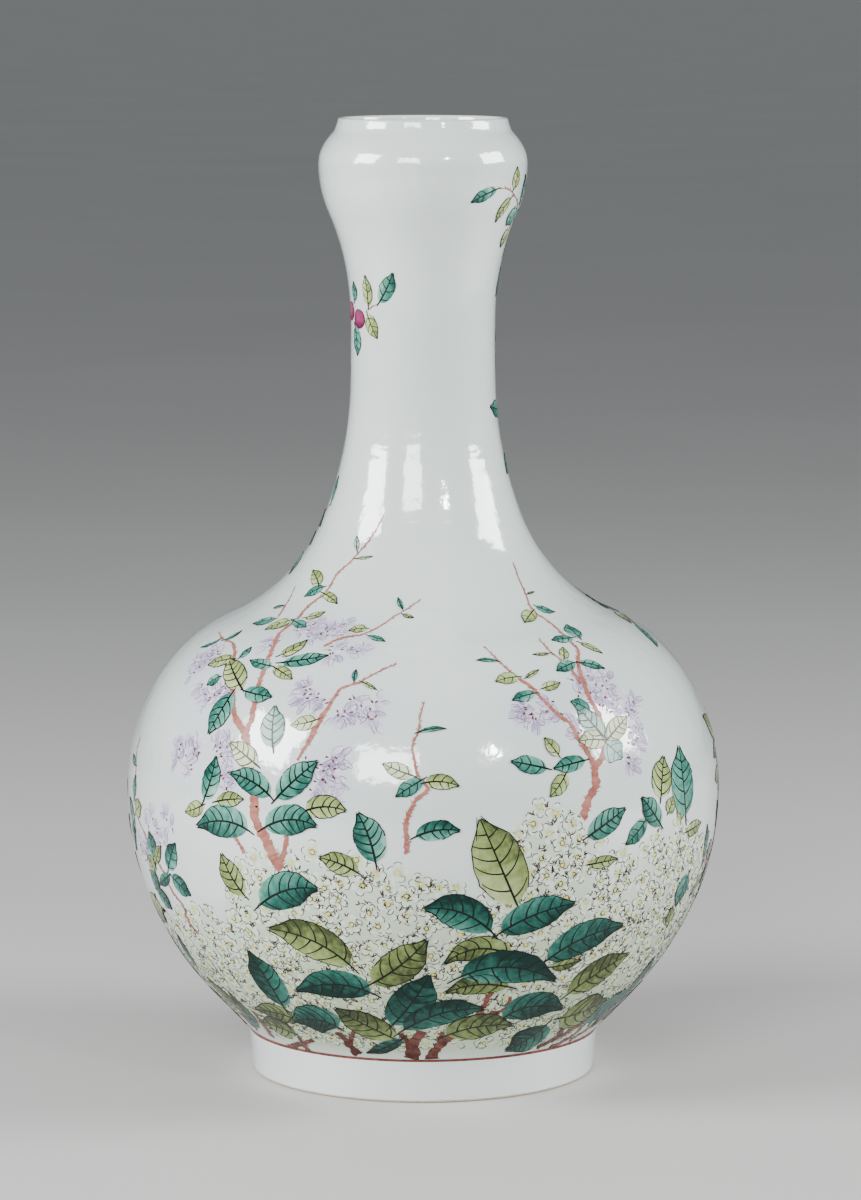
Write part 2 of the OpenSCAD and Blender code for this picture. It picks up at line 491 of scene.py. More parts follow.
def leaf(order, kind, blade, height):
    """One leaf: a wash of turquoise (T) or olive (O), painted paler as a painted highlight if its letter is
    small, and its lines.
    """
    lift = LEAF_LIFT + LEAF_LAYER * (order % LEAF_LAYERS)
    t = np.linspace(0, 1, LEAF_STATIONS)
    rib = blade.at(t, np.zeros(LEAF_STATIONS))
    paint = turquoise if kind in "Tt" else olive
    blade.patch.stroke(paint, rib, 2 * blade.half * leaf_breadth(t), lift, leaf_tones(kind, height),
                       across=LEAF_ACROSS, crown=LEAF_CROWN)
    leaf_lines(blade, kind, lift + LINE_OVER_LEAF)


def front_leaf(order, kind, x0, h0, x1, h1, width, arch=None):
    """A leaf as the front sheet shows it, from its base to its tip."""
    bend = draw.uniform(-0.05, 0.05)
    turn, run = from_front(leaf_plan((x0, h0), (x1, h1), width, bend if arch is None else arch))
    patch = Patch(turn[2], run[2])
    leaf(order, kind, Blade(patch, patch.flat(turn, run)), (h0 + h1) / 2)


def side_leaf(sheet, order, kind, x, h, heading, length, width):
    """A leaf with its base on a side's sheet, and its heading, in degrees, and size on the glaze."""
    tip = towards(math.radians(heading), length)
    plan = leaf_plan((0, 0), tip, width, draw.uniform(-0.08, 0.08))
    leaf(order, kind, Blade(patch_at(sheet, x, h), plan), h)


def leaf_lines(blade, kind, lift):
    """Midrib, side veins that sweep to the tip, and the outline, drawn with a fine brush in black."""
    size = min(1.0, max(LEAST_LINES, blade.length / FULL_LINES))
    # Paler lines on a leaf with a small letter: painted highlight
    tone = PAINTED_HIGHLIGHT_PALER_LINE_TONE if kind.islower() else LINE_TONE
    t = np.linspace(-STALK, 0.99, MIDRIB_STATIONS)
    swell = np.interp(t, (-STALK, FIRST_VEIN, 1.0), MIDRIB_WIDTHS)
    blade.patch.stroke(lines, blade.at(t, 0 * t), swell * size, lift, tone)
    pairs = int(np.clip(round(blade.length / VEIN_GAP), *VEIN_PAIRS))
    vein_width = np.linspace(*VEIN_WIDTHS, VEIN_STATIONS) * size
    for i in range(pairs):
        for side in (-1, 1):
            share = (i + 0.3 * (side > 0) + draw.uniform(-0.1, 0.1)) / pairs
            start = FIRST_VEIN + VEIN_SPREAD * max(share, 0) ** 0.8
            blade.patch.stroke(lines, blade.vein(start, side), vein_width, lift, tone)
    for side in (-1, 1):
        start = draw.uniform(*(TURQUOISE_EDGE if kind in "Tt" else OLIVE_EDGE))
        t = np.linspace(start, 1.0, EDGE_STATIONS)
        edge = side * (1 + draw.normal(0, 0.025, EDGE_STATIONS))
        width = draw.uniform(*EDGE_WIDTHS, EDGE_STATIONS) * size
        blade.patch.stroke(lines, blade.at(t, edge), width, lift, tone)
        flick = blade.at(FLICK_ALONG, side * np.array((0.78, 1.0, draw.uniform(*FLICK_REACH))))
        blade.patch.stroke(lines, flick, np.array(FLICK_WIDTHS) * size, lift, tone)


# Front leaves: colour, as a small letter for a leaf painted paler as a painted highlight, base and tip on the
# front sheet, width, and for some how far they arch

LEFT_SHRUB_LEAVES = (
    ("O", -75.5, 73, -85, 90.5, 8), ("T", -68.5, 69, -44.5, 75.5, 16, 0.12),
    ("O", -27.5, 82.5, -43.5, 89, 9), ("T", -20, 87, -27.5, 108, 13), ("T", -74, 101, -95, 102.5, 14, 0.14),
    ("T", -66.5, 102, -45, 102.5, 13, 0.14), ("O", -49.5, 109, -32.5, 109, 10, 0.10),
    ("O", -92.5, 111.5, -100, 108.5, 6.5), ("O", -87, 113, -75.5, 114, 6.5), ("T", -92, 114, -87, 132, 7),
    ("T", -64.5, 115.5, -81, 125, 10, 0.08), ("T", -61.5, 114.5, -44.5, 130, 11),
    ("o", -70, 128.5, -81, 138, 9), ("o", -44, 148, -55.5, 145.5, 6), ("t", -63, 136, -62, 153.5, 10),
    ("T", -80, 159, -90, 142, 7.5), ("T", -75, 160, -63.5, 157.5, 7), ("T", -85, 166, -90.5, 162.5, 3.5),
    ("O", -62.5, 170, -55, 165, 5.5), ("T", -63.5, 170.5, -72.5, 173, 4.5), ("T", -59, 172, -40, 175, 5),
    ("O", -60, 175, -48.5, 181.5, 3.5), ("T", -77, 174, -72, 178.5, 2), ("O", -80, 173.5, -90, 171, 4),
    ("O", -76, 161, -81.5, 174, 10), ("T", -85, 182, -93, 178.5, 1), ("T", -83.5, 181.5, -76, 185.5, 1),
    ("O", -55, 190, -66, 186, 3), ("T", -62, 190.5, -71, 188.5, 2.5), ("T", -58.5, 196, -62.5, 195, 1),
    ("T", -54.5, 190, -49, 187, 4), ("O", -49.5, 191, -41, 193.5, 2.2), ("O", -43.5, 204.5, -46, 211, 5.5),
    ("T", -41.5, 204, -49.5, 200, 3), ("O", -42, 201.5, -36, 197, 4), ("t", -27.5, 219.5, -27.5, 225.5, 2),
    ("o", -28, 216, -21, 217, 1.2), ("O", -23.5, 186.5, -31, 185.5, 3), ("T", -23, 183.5, -16, 181, 2.2),
    ("T", -8.5, 194.5, -10.5, 199.5, 2), ("O", -8.5, 192.5, -4, 191, 1.5), ("T", -29, 164, -28, 169, 2.2),
    ("O", -26, 164, -19.5, 160.5, 1.8),
)
CENTRE_SPRIG_LEAVES = (
    ("T", -3, 98, 15.5, 100.5, 8.5, 0.08), ("o", -4.5, 124, -17, 129, 6.5),
    ("T", 0, 122.5, -11.5, 115, 6.5), ("O", 1, 121, 15, 119.5, 6.5, 0.08), ("T", -2, 142.5, 9.5, 144, 2),
)
RIGHT_SHRUB_LEAVES = (
    ("O", 70, 86, 82, 88.5, 5), ("T", 69.5, 98, 85, 110, 9.5), ("O", 60, 125, 53.5, 115, 6.5),
    ("T", 52, 127, 37, 130, 7.5), ("T", 68, 130.5, 55, 127, 7), ("O", 57, 132.5, 51, 140, 5),
    ("t", 77, 139.4, 64.5, 153.5, 8), ("o", 76.5, 139.2, 65.5, 138.7, 8), ("t", 76.6, 138, 83.5, 131.3, 10),
    ("o", 77.8, 139.8, 85.5, 149, 8), ("T", 70, 151.5, 62, 155.5, 5), ("T", 47, 159, 37.5, 156, 4.5),
    ("O", 50, 161, 57.5, 163.5, 4), ("O", 43, 165.5, 48.5, 169, 2), ("O", 40, 166, 30.5, 164, 5),
    ("T", 31.5, 172.5, 22.5, 173, 1.6), ("T", 65.5, 172, 76, 169.5, 3), ("T", 63.5, 172, 56, 168.5, 5),
    ("O", 59, 173.5, 58.5, 178.5, 4), ("O", 53, 176, 46, 175.5, 1.3), ("O", 65.5, 180.5, 75, 176, 1.8),
    ("T", 62.5, 182.5, 54, 181.5, 3.2), ("T", 65.5, 182.5, 60, 188, 4), ("O", 46, 194, 42.5, 189, 6),
    ("T", 47, 196, 55, 193.5, 2.3), ("O", 43.5, 201, 46.5, 202, 1),
)
LOW_BAND_LEAVES = (
    ("O", 39.5, 69, 24, 105.5, 22), ("T", 28.5, 57.5, 0.5, 67, 15, 0.12), ("T", 33, 57, 64, 69.5, 13, 0.05),
    ("O", -31, 43, -65, 58.5, 14, 0.08), ("O", -21.5, 35, 1.5, 53.5, 15), ("O", 54, 42, 66.5, 45, 4),
    ("T", 52.5, 45, 84.5, 60, 12, 0.06), ("O", 37.5, 47, 9, 43.5, 10, 0.16),
    ("T", -59, 25, -73.5, 48.5, 10), ("O", 36, 33.5, 9.5, 31, 8, 0.08), ("T", 16, 38, 56, 36.5, 14, 0.12),
    ("T", -22, 31, -53.5, 32, 12, 0.10), ("O", 61.5, 30.5, 86.5, 47.5, 9), ("O", -53, 19, -71, 24, 6),
    ("O", -54, 13, -68, 18.5, 6), ("O", -12, 11, -37, 24, 10), ("T", -36, 16, -55, 19, 11, 0.10),
    ("O", 58.5, 20, 77.5, 28, 9), ("T", 34, 20, 59, 24, 11, 0.12), ("T", 52, 17, 35, 6, 9),
    ("T", -13, 17, 2.5, 38.5, 17), ("O", 10, 12.5, 37.5, 17, 10, 0.06), ("T", -8, 15, 25.5, 24, 10, 0.08),
    ("T", -9, 11, -23.5, 5, 5), ("T", 71, 18, 85, 28, 6),
)
EDGE_LEAVES = (
    ("O", 100, 114.5, 101, 132, 8), ("T", 110.5, 107, 107.5, 136, 9), ("O", 103, 108, 105, 115, 4),
    ("T", 100, 103, 92, 114.5, 8), ("T", 94, 105.5, 85.5, 94.5, 6), ("O", 108.5, 104.5, 107.5, 115, 3),
    ("O", 111, 100, 117, 104, 5), ("T", -113.5, 88.5, -115.5, 100, 3.5), ("O", -112.5, 87, -110.5, 94, 3),
    ("O", -113, 83, -116, 90, 2.5), ("T", -107.5, 84, -104.5, 95, 6), ("T", -107, 81.5, -111, 77.5, 5),
    ("T", -106, 81, -98, 73, 5), ("T", -115, 83, -111, 76, 3), ("T", -112, 75, -106, 67, 3),
    ("O", -113, 72, -108.5, 62, 2.5),
)
HEAD_LEAVES = (
    ("T", 30.5, 370.5, 20, 365, 4.5), ("O", 37.5, 370.5, 39, 379.5, 2.5), ("O", 36.5, 367, 30, 357, 2.5),
    ("T", 39, 361.5, 34.5, 355.5, 3), ("O", 35.5, 354, 32, 346.5, 1.5),
    ("T", -18, 323.5, -12.5, 335.5, 6.5), ("O", -22.5, 322, -24, 334.5, 3.5),
    ("O", -23, 318.5, -19, 308.5, 4.5), ("T", -28, 313.5, -27, 301.5, 2.8),
    ("T", -28.3, 324, -28.7, 332, 1.8),
)
# Side leaves: colour, base on the sheet, heading, length and width. These are on both sides
SIDE_LEAVES = (
    ("T", -35, 37.5, 96, 22, 10.5), ("T", 22, 57, 262, 24, 11), ("O", -2, 33, 62, 28, 12),
    ("T", 4, 27, 28, 27, 11), ("O", 17, 23, 152, 26, 11), ("T", -12, 22, 95, 24, 10),
    ("T", 36, 24, 68, 26, 11), ("O", 44, 30, 115, 24, 10), ("T", 40, 51.5, 92, 15, 5.5),
    ("T", -3, 70, 128, 17, 8), ("O", -4, 81, 42, 18, 8.5), ("T", -6, 92, 200, 24, 9),
    ("O", -29, 87.5, 212, 14, 5), ("T", -35, 94, 100, 16, 6), ("T", -51.5, 91.5, 255, 14, 11),
    ("O", -52, 70.5, 118, 9.5, 6.5), ("T", -7, 104, 128, 15, 8), ("T", -8, 97, 35, 20, 9),
    ("O", -9, 111, 38, 19, 9), ("T", 32.5, 120, 77, 10, 5.8), ("O", 34.5, 114, 25, 10.5, 8),
    ("T", 30.5, 107.3, 127, 14, 6.5), ("T", 25.4, 98.6, 74, 12, 5), ("T", 32.8, 134, 160, 9, 3),
)
# Leaves over the right shoulder and neck
RIGHT_LEAVES = (
    ("O", -9, 128.5, 188, 16, 6.5), ("T", -9, 121, 30, 19, 9), ("T", -9, 140, 200, 14, 4.5),
    ("O", -4, 141.5, 148, 22, 8.5), ("T", -3, 140.5, 5, 16, 7.5), ("O", 7, 149, 12, 15, 7),
    ("T", 13, 154, 78, 12, 6), ("T", 16, 159, 20, 15, 7), ("O", 19, 164, 88, 12, 6),
    ("O", 21, 168.5, 15, 14, 6.5), ("T", 24, 175, 84, 13, 6), ("T", 25, 180, 20, 13, 6),
    ("T", -4, 188.8, 221, 18.5, 7.5), ("O", 26, 186, 8, 12, 5.5), ("O", 4, 192.7, 205, 14, 6),
    ("T", 24.5, 191, 35, 12, 5.5), ("O", 22, 197, 15, 11, 5), ("T", 5.5, 199, 262, 13, 5.5),
    ("O", 30, 178, 95, 10, 5), ("T", 36, 185, 15, 11, 5), ("T", 39, 192, 60, 10, 4.5),
    ("O", 38, 189.5, 118, 9, 4), ("T", 20, 204, 50, 12, 5.5), ("T", 18.5, 209, 112, 12, 5.5),
    ("O", 10.8, 229, 335, 9, 4), ("T", 12.3, 224, 108, 11, 5), ("T", 9.1, 237, 325, 10, 4.5),
    ("O", 8.1, 243, 95, 10, 4.5), ("T", 0, 259.5, 225, 10, 5), ("O", 6.9, 254, 62, 10, 4.5),
    ("T", 6, 265, 80, 10, 4.5), ("T", 2, 279, 172, 15.5, 7.5), ("O", 4.8, 286, 65, 10, 4.5),
    ("T", 4.3, 294, 88, 11, 5), ("O", 4, 305, 85, 10, 4.5), ("T", 4.5, 315, 65, 10, 4.5),
    ("T", -1.5, 336.5, 246, 11, 4.5), ("O", 4, 326, 75, 9, 4), ("T", 2.5, 343, 85, 9, 4.5),
    ("T", -9, 366, 90, 11, 4.5),
)
# Leaves over the left shoulder and neck
LEFT_LEAVES = (
    ("T", -66, 168, 95, 14, 6.5), ("O", -60, 174, 330, 13, 6), ("T", -54, 179, 85, 14, 6.5),
    ("T", -48, 185, 345, 13, 6), ("O", -44, 188, 110, 12, 5.5), ("T", -34, 197, 350, 11, 5),
    ("O", -27, 204, 115, 11, 5), ("T", -19, 213, 95, 11, 5), ("T", 0, 218, 315, 13, 4.6),
    ("T", -12, 223.5, 140, 11, 5), ("O", -1.5, 226.5, 332, 9, 3.6), ("T", -2, 235.5, 328, 10, 4.2),
    ("T", 9, 241, 91, 11, 4.5), ("O", -7.5, 236, 110, 10, 4.5), ("T", -5.5, 250, 125, 11, 5),
    ("O", -5.5, 266, 88, 10, 4), ("T", -5.5, 280, 120, 11, 5), ("O", -5, 292, 100, 10, 4.5),
    ("T", -4.5, 302, 140, 11, 4.5), ("T", -8, 322, 60, 9, 4), ("O", -10, 335, 130, 9, 4),
    ("T", -13, 346, 60, 9, 4),
)


# Branches

BRANCH_STEP = 1.0
TAPER = 1.3
# How far a branch wavers and how its width varies, as shares of its width
WAVER = 0.07
RAGGED = (0.74, 1.24)
BRANCH_CROWN = 0.05
THORN_CHANCE = 0.55
THORN_WIDTHS = (0.55, 0.15)


def branch(sheet, thick, thin, *places):
    """A painted branch from its thick end to its thin end, with a ragged edge and small thorns."""
    way = spline(places, BRANCH_STEP)
    count = len(way)
    width = thin + (thick - thin) * np.linspace(1, 0, count) ** TAPER
    way = way + draw.normal(0, WAVER, (count, 2)) * width[:, None]
    turn, run = sheet(way)
    ragged = width * draw.uniform(*RAGGED, count)
    # Darker lower down the vase: painted shade
    tone = np.clip(0.95 - way[:, 1] / 140, 0.3, 0.95) + draw.normal(0, 0.09, count)
    ribbon(branches, turn, run, ragged, BRANCH_LIFT, tone, across=3, crown=BRANCH_CROWN)
    for i in range(1, count - 1):
        if draw.random() < THORN_CHANCE:
            thorn(Patch(turn[i], run[i]), turn[i + 1], run[i + 1], width[i], float(tone[i]))


def thorn(patch, turn, run, width, tone):
    """A short spur that leaves the branch at a slant."""
    ahead = patch.flat(turn, run)
    heading = math.atan2(ahead[1], ahead[0])
    side = draw.choice((-1, 1))
    foot = towards(heading + side * math.pi / 2, 0.3 * width)
    spur = towards(heading + side * draw.uniform(0.5, 1.1), 0.35 * width + draw.uniform(0.5, 1.1))
    patch.stroke(branches, (foot, foot + spur), THORN_WIDTHS, BRANCH_LIFT, tone + 0.1)


# Branches: width at the thick and thin ends, and places on the sheet
BRANCHES = (
    (4.2, 3.4, (-60, 84), (-62, 87), (-66, 96.5), (-71, 106.5), (-71, 114.5), (-73, 128), (-75, 142)),
    (2.8, 2.0, (-75, 142), (-79, 150), (-80, 158), (-79, 168)),
    (2.8, 2.0, (-75, 142), (-71.5, 150), (-70.5, 156), (-68, 166)),
    (1.8, 1.2, (-75.5, 91), (-77, 94), (-79, 98)), (2.6, 1.8, (-60.5, 85), (-58.5, 92), (-57.5, 99)),
    (2.3, 0.7, (-46.5, 141), (-49, 137), (-53, 130.5)),
    (2.6, 1.8, (-46.5, 141), (-43.5, 147.5), (-41.5, 150.5)),
    (1.5, 0.5, (-41.5, 150.5), (-38.5, 155), (-34.5, 161), (-27, 163.5), (-21, 167), (-11, 171.5)),
    (1.9, 0.6, (-80, 172), (-79, 177), (-80, 180.5), (-84, 182), (-85.5, 185)),
    (2.2, 0.4, (-68, 166), (-63, 178), (-60, 184.5), (-53, 190), (-49, 195), (-43.5, 199.5),
     (-39.5, 203.5), (-36, 209.5), (-30, 215), (-26.5, 219), (-22, 224.5), (-16.5, 234.5)),
    (0.9, 0.3, (-60.5, 191.5), (-58.5, 195), (-56, 199), (-53.5, 204.5)),
    (1.4, 0.4, (-41.5, 179), (-34, 182.5), (-25.5, 184), (-18, 187.5), (-11.5, 192), (-7, 194.5),
     (-1, 199)),
    (2.2, 0.5, (-7, 90.5), (-7, 96.5), (-7, 104.5), (-3, 113.5), (2, 118.5), (-2.5, 124.5), (-3.5, 130),
     (-4.5, 136.5), (-2, 143), (-1, 150), (0.5, 155.5)),
    (4.0, 0.4, (67.5, 105.5), (70, 114.5), (73, 120.5), (72, 127), (75.5, 132), (77, 139), (74.5, 148),
     (69.5, 158), (66.5, 166), (65, 172), (65, 177), (62.5, 180), (57.5, 185), (52.5, 189.5), (47.5, 193),
     (45, 195.5), (43, 201), (40.5, 206.5), (37.5, 214.5)),
    (2.4, 1.3, (72, 127), (69.5, 133.5), (65, 140), (61.5, 146.5), (57, 149.5), (52, 154.5), (48, 159)),
    (1.8, 0.4, (48, 159), (45.5, 161.5), (41, 164.5), (35, 169.5), (30, 174.5), (25.5, 179)),
    (1.6, 0.5, (66, 163), (63, 168), (57.5, 173.5), (52.5, 177.5), (48.5, 182.5)),
    (1.6, 1.0, (-95, 56), (-99, 62), (-101.5, 68.5), (-105.5, 74), (-108, 79)),
    (4.4, 3.0, (-27.5, 4), (-31, 8.5), (-37, 14)), (2.6, 1.6, (-31, 8), (-29.5, 14)),
    (6.0, 4.0, (-4.5, 2.5), (-4, 8.5), (-0.5, 14)), (3.2, 2.0, (-4.5, 7), (-9.5, 13)),
    (5.0, 3.2, (3, 2.5), (7, 8), (14.5, 13.5)), (3.0, 2.0, (7, 7.5), (8, 14)),
    (3.0, 2.2, (23.5, 21), (26, 26), (29, 31.5)), (2.6, 1.8, (28, 22), (34, 23.5), (37, 29)),
    (4.0, 2.8, (48, 7), (60, 13), (71, 20.5)), (3.0, 2.0, (54, 7.5), (63, 12), (69, 18)),
    (3.0, 2.0, (57, 12), (62, 21)), (3.4, 2.2, (-57, 7), (-47, 10.5)), (3.4, 2.0, (-64, 12), (-72, 23)),
    (3.0, 2.0, (-48, 5), (-53, 12)), (2.6, 1.8, (62, 10), (74, 18)),
    (0.8, 0.4, (39, 361.5), (39, 365.5), (38, 367.5), (36, 370), (31, 370.5)),
    (0.6, 0.3, (-23, 320.5), (-18.5, 323)),
)
SIDE_BRANCHES = (
    (3.8, 2.4, (-2, 48), (-1, 62), (-3, 78), (-6, 92), (-7, 104), (-8, 114)),
    (1.1, 0.4, (60, 91), (53, 99), (46, 107), (37.6, 113), (33, 124), (32.8, 134), (29.4, 140), (30, 145)),
    (1.3, 0.8, (-6, 88), (-20, 92), (-32, 93.5), (-36, 97)), (4.6, 3.0, (-4, 19), (-2, 24), (2, 30)),
    (3.2, 2.0, (-3, 22.5), (-8, 28.5)), (3.6, 2.2, (16, 19.5), (12, 25), (13, 31)),
    (3.0, 2.0, (33, 23), (36, 30)),
)
RIGHT_BRANCHES = (
    (2.4, 1.7, (-8, 114), (-10, 124), (-9, 133), (-4, 140), (4, 146), (13, 154), (19, 164), (24, 175),
     (26, 185), (24, 193), (21, 199)), (1.6, 0.5, (22, 171), (30, 178), (36, 185), (39, 192)),
    (1.2, 0.6, (12, 153), (14, 159), (14.5, 166)),
    (1.7, 0.6, (21, 199), (19.5, 206), (17, 214), (13, 222), (10.5, 230), (8.5, 240), (7, 252), (6, 266),
     (5, 280), (4.3, 296), (4, 312), (4, 326), (3.5, 338), (1, 348), (-4, 357), (-8.5, 362)),
    (0.8, 0.4, (25.5, 188), (16, 190.5), (5, 190.5), (-3.5, 189)),
    (0.8, 0.4, (22.5, 195), (13, 195.5), (4, 193)), (0.8, 0.4, (20, 203.5), (13, 202.5), (5.5, 199.3)),
    (0.6, 0.4, (6.4, 258), (3, 260), (0, 259.8)), (0.6, 0.4, (3.6, 335), (1, 337.2), (-1.5, 336.8)),
    (1.0, 0.4, (4, 312), (8, 317), (13, 320), (19, 322)),
)
LEFT_BRANCHES = (
    (2.2, 0.5, (-76, 160), (-64, 170), (-52, 181), (-40, 192), (-28, 203), (-18, 214), (-10.5, 226),
     (-7, 238), (-5.5, 252), (-5.5, 268), (-5.5, 284), (-4.5, 300), (-1, 311), (5, 317), (10, 319.5)),
    (0.7, 0.4, (-8, 233), (1, 236), (8.8, 240.5)),
    (0.9, 0.4, (-4.5, 300), (-7, 318), (-10, 334), (-14, 348), (-18, 360)),
)


# Clustered white blossoms low on the body

BLOSSOM_GAP = 6.9
BLOSSOM_DARTS = 16000
LOOSE_PETALS = 1500
BLOSSOM_LOW_Z = 25.0
# Length and breadth of a petal and of its outline, its wavy edge, and where it gets greener and darker down
# the vase as painted shade
PETAL_LONG = 3.9
PETAL_WIDE = 3.5
RIM_LONG = 3.7
RIM_WIDE = 3.3
PETAL_WAVE = 0.06
PETAL_CROWN = 0.03
PETAL_SHADE_FROM = 100.0
PETAL_SHADE_SPAN = 75.0
PETAL_LINE_WIDTHS = (0.2, 0.44)
RING_WIDTHS = (0.26, 0.44)
STAMEN_WIDTHS = (0.2, 0.32)
STAMEN_START = 1.4
# How far petals sit from the middle of their blossom, and the sizes of its glow and heart
PETAL_RING = (2.3, 2.8)
GLOW_SIZE = 5.0
HEART_SIZE = 1.9
# Depths below the top edge at which petals and blossoms become full, and where the tick marks begin
LOOSE_FROM = 2.0
LOOSE_FULL = 20.0
BLOSSOM_SPARSE = 0.25
BLOSSOM_FULL = 14.0
FAINT_SPAN = 16.0
TICKS_FROM = 4.0
TICK_SPREAD = 4.2
TICK_WIDTHS = (0.52, 0.26)
# The top edge of the blossom on the front sheet, from the left outline to the right one
BLOSSOM_CREST = (
    (-123, 70), (-112, 62), (-95, 70), (-85, 68), (-75, 91), (-60, 93), (-50, 92), (-25, 88), (0, 84),
    (12, 80), (26, 66), (36, 92), (43, 110), (56, 113), (68, 106), (80, 92), (90, 92), (100, 104),
    (112, 104), (122, 92),
)
crest_turn, crest_run = from_front(BLOSSOM_CREST)


def below_crest(turn, run):
    """How far a place lies below the top edge of the blossom, in mm."""
    return np.interp(turn, crest_turn, crest_run, period=math.pi) - run


def petal(patch, middle, heading, size, lift, faint):
    """One white petal, greener at its inner end, greener and darker low on the vase as painted shade, with a
    broken brown outline.
    """
    # Greener and darker lower on the vase: painted shade
    deep = 0.3 * float(smoothstep((run_at(PETAL_SHADE_FROM) - patch.run) / PETAL_SHADE_SPAN))
    tones = (0.2 + deep, 0.7 + deep, deep)
    patch.blob(petals, middle, PETAL_LONG * size, PETAL_WIDE * size, heading, lift, PETAL_CROWN, tones,
               wobble=PETAL_WAVE)
    if draw.random() < 0.95 - 0.3 * faint:
        arc = draw.uniform(-1.7, -0.6) + np.linspace(0, draw.uniform(1.4, 2.9), 6)
        rim = middle + oval(RIM_LONG * size, RIM_WIDE * size, heading, arc, PETAL_WAVE)
        width = draw.uniform(*PETAL_LINE_WIDTHS, 6)
        patch.stroke(petal_lines, rim, width, FINE_LIFT, draw.uniform(0.0, 0.45) + 0.3 * faint)


def blossom(patch, faint):
    """Five petals round a green glow and a yellow heart, with a broken brown ring and stamens."""
    spin, size = draw.uniform(0, math.tau), draw.uniform(0.85, 1.12)
    for i in range(5):
        heading = spin + i * math.tau / 5 + draw.normal(0, 0.12)
        petal(patch, towards(heading, draw.uniform(*PETAL_RING) * size), heading, size, PETAL_LIFT, faint)
    glow, heart = GLOW_SIZE * size, HEART_SIZE * size
    patch.blob(petals, (0, 0), glow, glow, spin, PETAL_LIFT + 0.03, 0.01, (1.1, 0.35, 0.35))
    patch.blob(hearts, (0, 0), heart, heart, spin, FINE_LIFT, 0.05, (0.2, 0.4, 0.8))
    if draw.random() < 0.75 - 0.5 * faint:
        arc = draw.uniform(0, math.tau) + np.linspace(0, draw.uniform(3.5, 6.2), 8)
        ring = oval(2 * size, 2 * size, 0.0, arc)
        patch.stroke(stamens, ring, draw.uniform(*RING_WIDTHS), FINE_LIFT + 0.03, 0.3)
    for heading in draw.uniform(0, math.tau, 3):
        stamen = (towards(heading, STAMEN_START), towards(heading, STAMEN_START + draw.uniform(0.4, 1.1)))
        patch.stroke(stamens, stamen, STAMEN_WIDTHS, FINE_LIFT + 0.03, 0.3 + 0.4 * faint)


def tick_mark(turn, run):
    """A few small dark brush marks in the shade between blossoms, most of them upright."""
    patch = Patch(turn, run)
    heading = math.pi / 2 + draw.normal(0, 0.6)
    paint = calyx if draw.random() < 0.2 else stamens
    for turn_aside in draw.choice((-0.7, 0.0, 0.8), draw.integers(1, 4), replace=False):
        foot = draw.normal(0, 0.4, 2)
        mark = (foot, foot + towards(heading + turn_aside, draw.uniform(0.8, 2.0)))
        patch.stroke(paint, mark, TICK_WIDTHS, FINE_LIFT + 0.04, draw.uniform(0.0, 0.2))


def scatter_blossoms():
    """Loose petals, and over them blossoms no closer than BLOSSOM_GAP, on half of the vase. Both thin out
    towards the top edge."""
    corners = (-math.pi / 2, run_at(BLOSSOM_LOW_Z), 0), (math.pi / 2, crest_run.max(), 1)
    for turn, run, chance in draw.uniform(*corners, (LOOSE_PETALS, 3)):
        depth = below_crest(turn, run)
        if depth > LOOSE_FROM and chance < depth / LOOSE_FULL:
            petal(Patch(turn, run), (0, 0), draw.uniform(0, math.tau), 0.9, PETAL_LIFT - 0.02, 0.3)
    kept = np.empty((0, 2))
    for turn, run, chance in draw.uniform(*corners, (BLOSSOM_DARTS, 3)):
        depth = below_crest(turn, run)
        if depth < 0 or chance > BLOSSOM_SPARSE + depth / BLOSSOM_FULL:
            continue
        apart = np.hypot(half_turn(kept[:, 0] - turn) * radius_at(run), kept[:, 1] - run)
        if len(kept) and apart.min() < BLOSSOM_GAP:
            continue
        kept = np.vstack((kept, (turn, run)))
        blossom(Patch(turn, run), faint=float(1 - smoothstep(depth / FAINT_SPAN)))
        if depth > TICKS_FROM:
            for aside in draw.uniform(-TICK_SPREAD, TICK_SPREAD, (draw.integers(3, 8), 2)):
                tick_mark(turn + aside[0] / radius_at(run), run + aside[1])


# Lilac sprays: a box on the sheet, a count of florets and the way they lean, in degrees from the right

LILAC_FULLNESS = 1.4
LILAC_STATIONS = 6
LILAC_BREADTHS = (2.0, 3.1)
LILAC_LENGTHS = (4.2, 7.4)
LILAC_LINE_CHANCE = 0.5
LILAC_LINE_WIDTHS = (0.16, 0.32)
CALYX_WIDTHS = (0.85, 0.5)
STALK_CHANCE = 0.4
STALK_WIDTHS = (0.35, 0.2)
LILAC = (
    (-53, 183, -32, 190, 11, 15), (-39, 175, -27, 180, 6, 0), (-50, 154, -40, 162, 7, 200),
    (-36, 147, -17, 157, 10, -20), (-91, 173, -84, 178, 4, 170), (-99, 167, -91, 173, 5, 190),
    (-97, 155, -81, 163, 9, 190), (-80, 163, -75, 169, 3, 200), (-103, 126, -94, 138, 9, 150),
    (-88, 131, -82, 139, 5, 70), (-86, 117, -81, 126, 5, 80), (-50, 114, -36, 133, 14, -10),
    (-117, 93, -104, 107, 8, 100), (40, 147, 58, 156, 11, 190), (62, 157, 78, 167, 9, 20),
    (84, 149, 89, 157, 4, 30), (-66, 176, -60, 183, 3, 160), (86, 134, 91, 146, 6, 10),
    (73, 151, 80, 156, 4, 60), (65, 141, 69, 147, 3, 170), (83, 129, 87, 132, 2, -40),
)
SIDE_LILAC = ((36, 94, 46, 104, 5, 60),)
RIGHT_LILAC = ((24, 156, 32, 164, 6, -10), (30, 185, 37, 191, 4, 60), (13, 206, 18, 212, 4, 30))


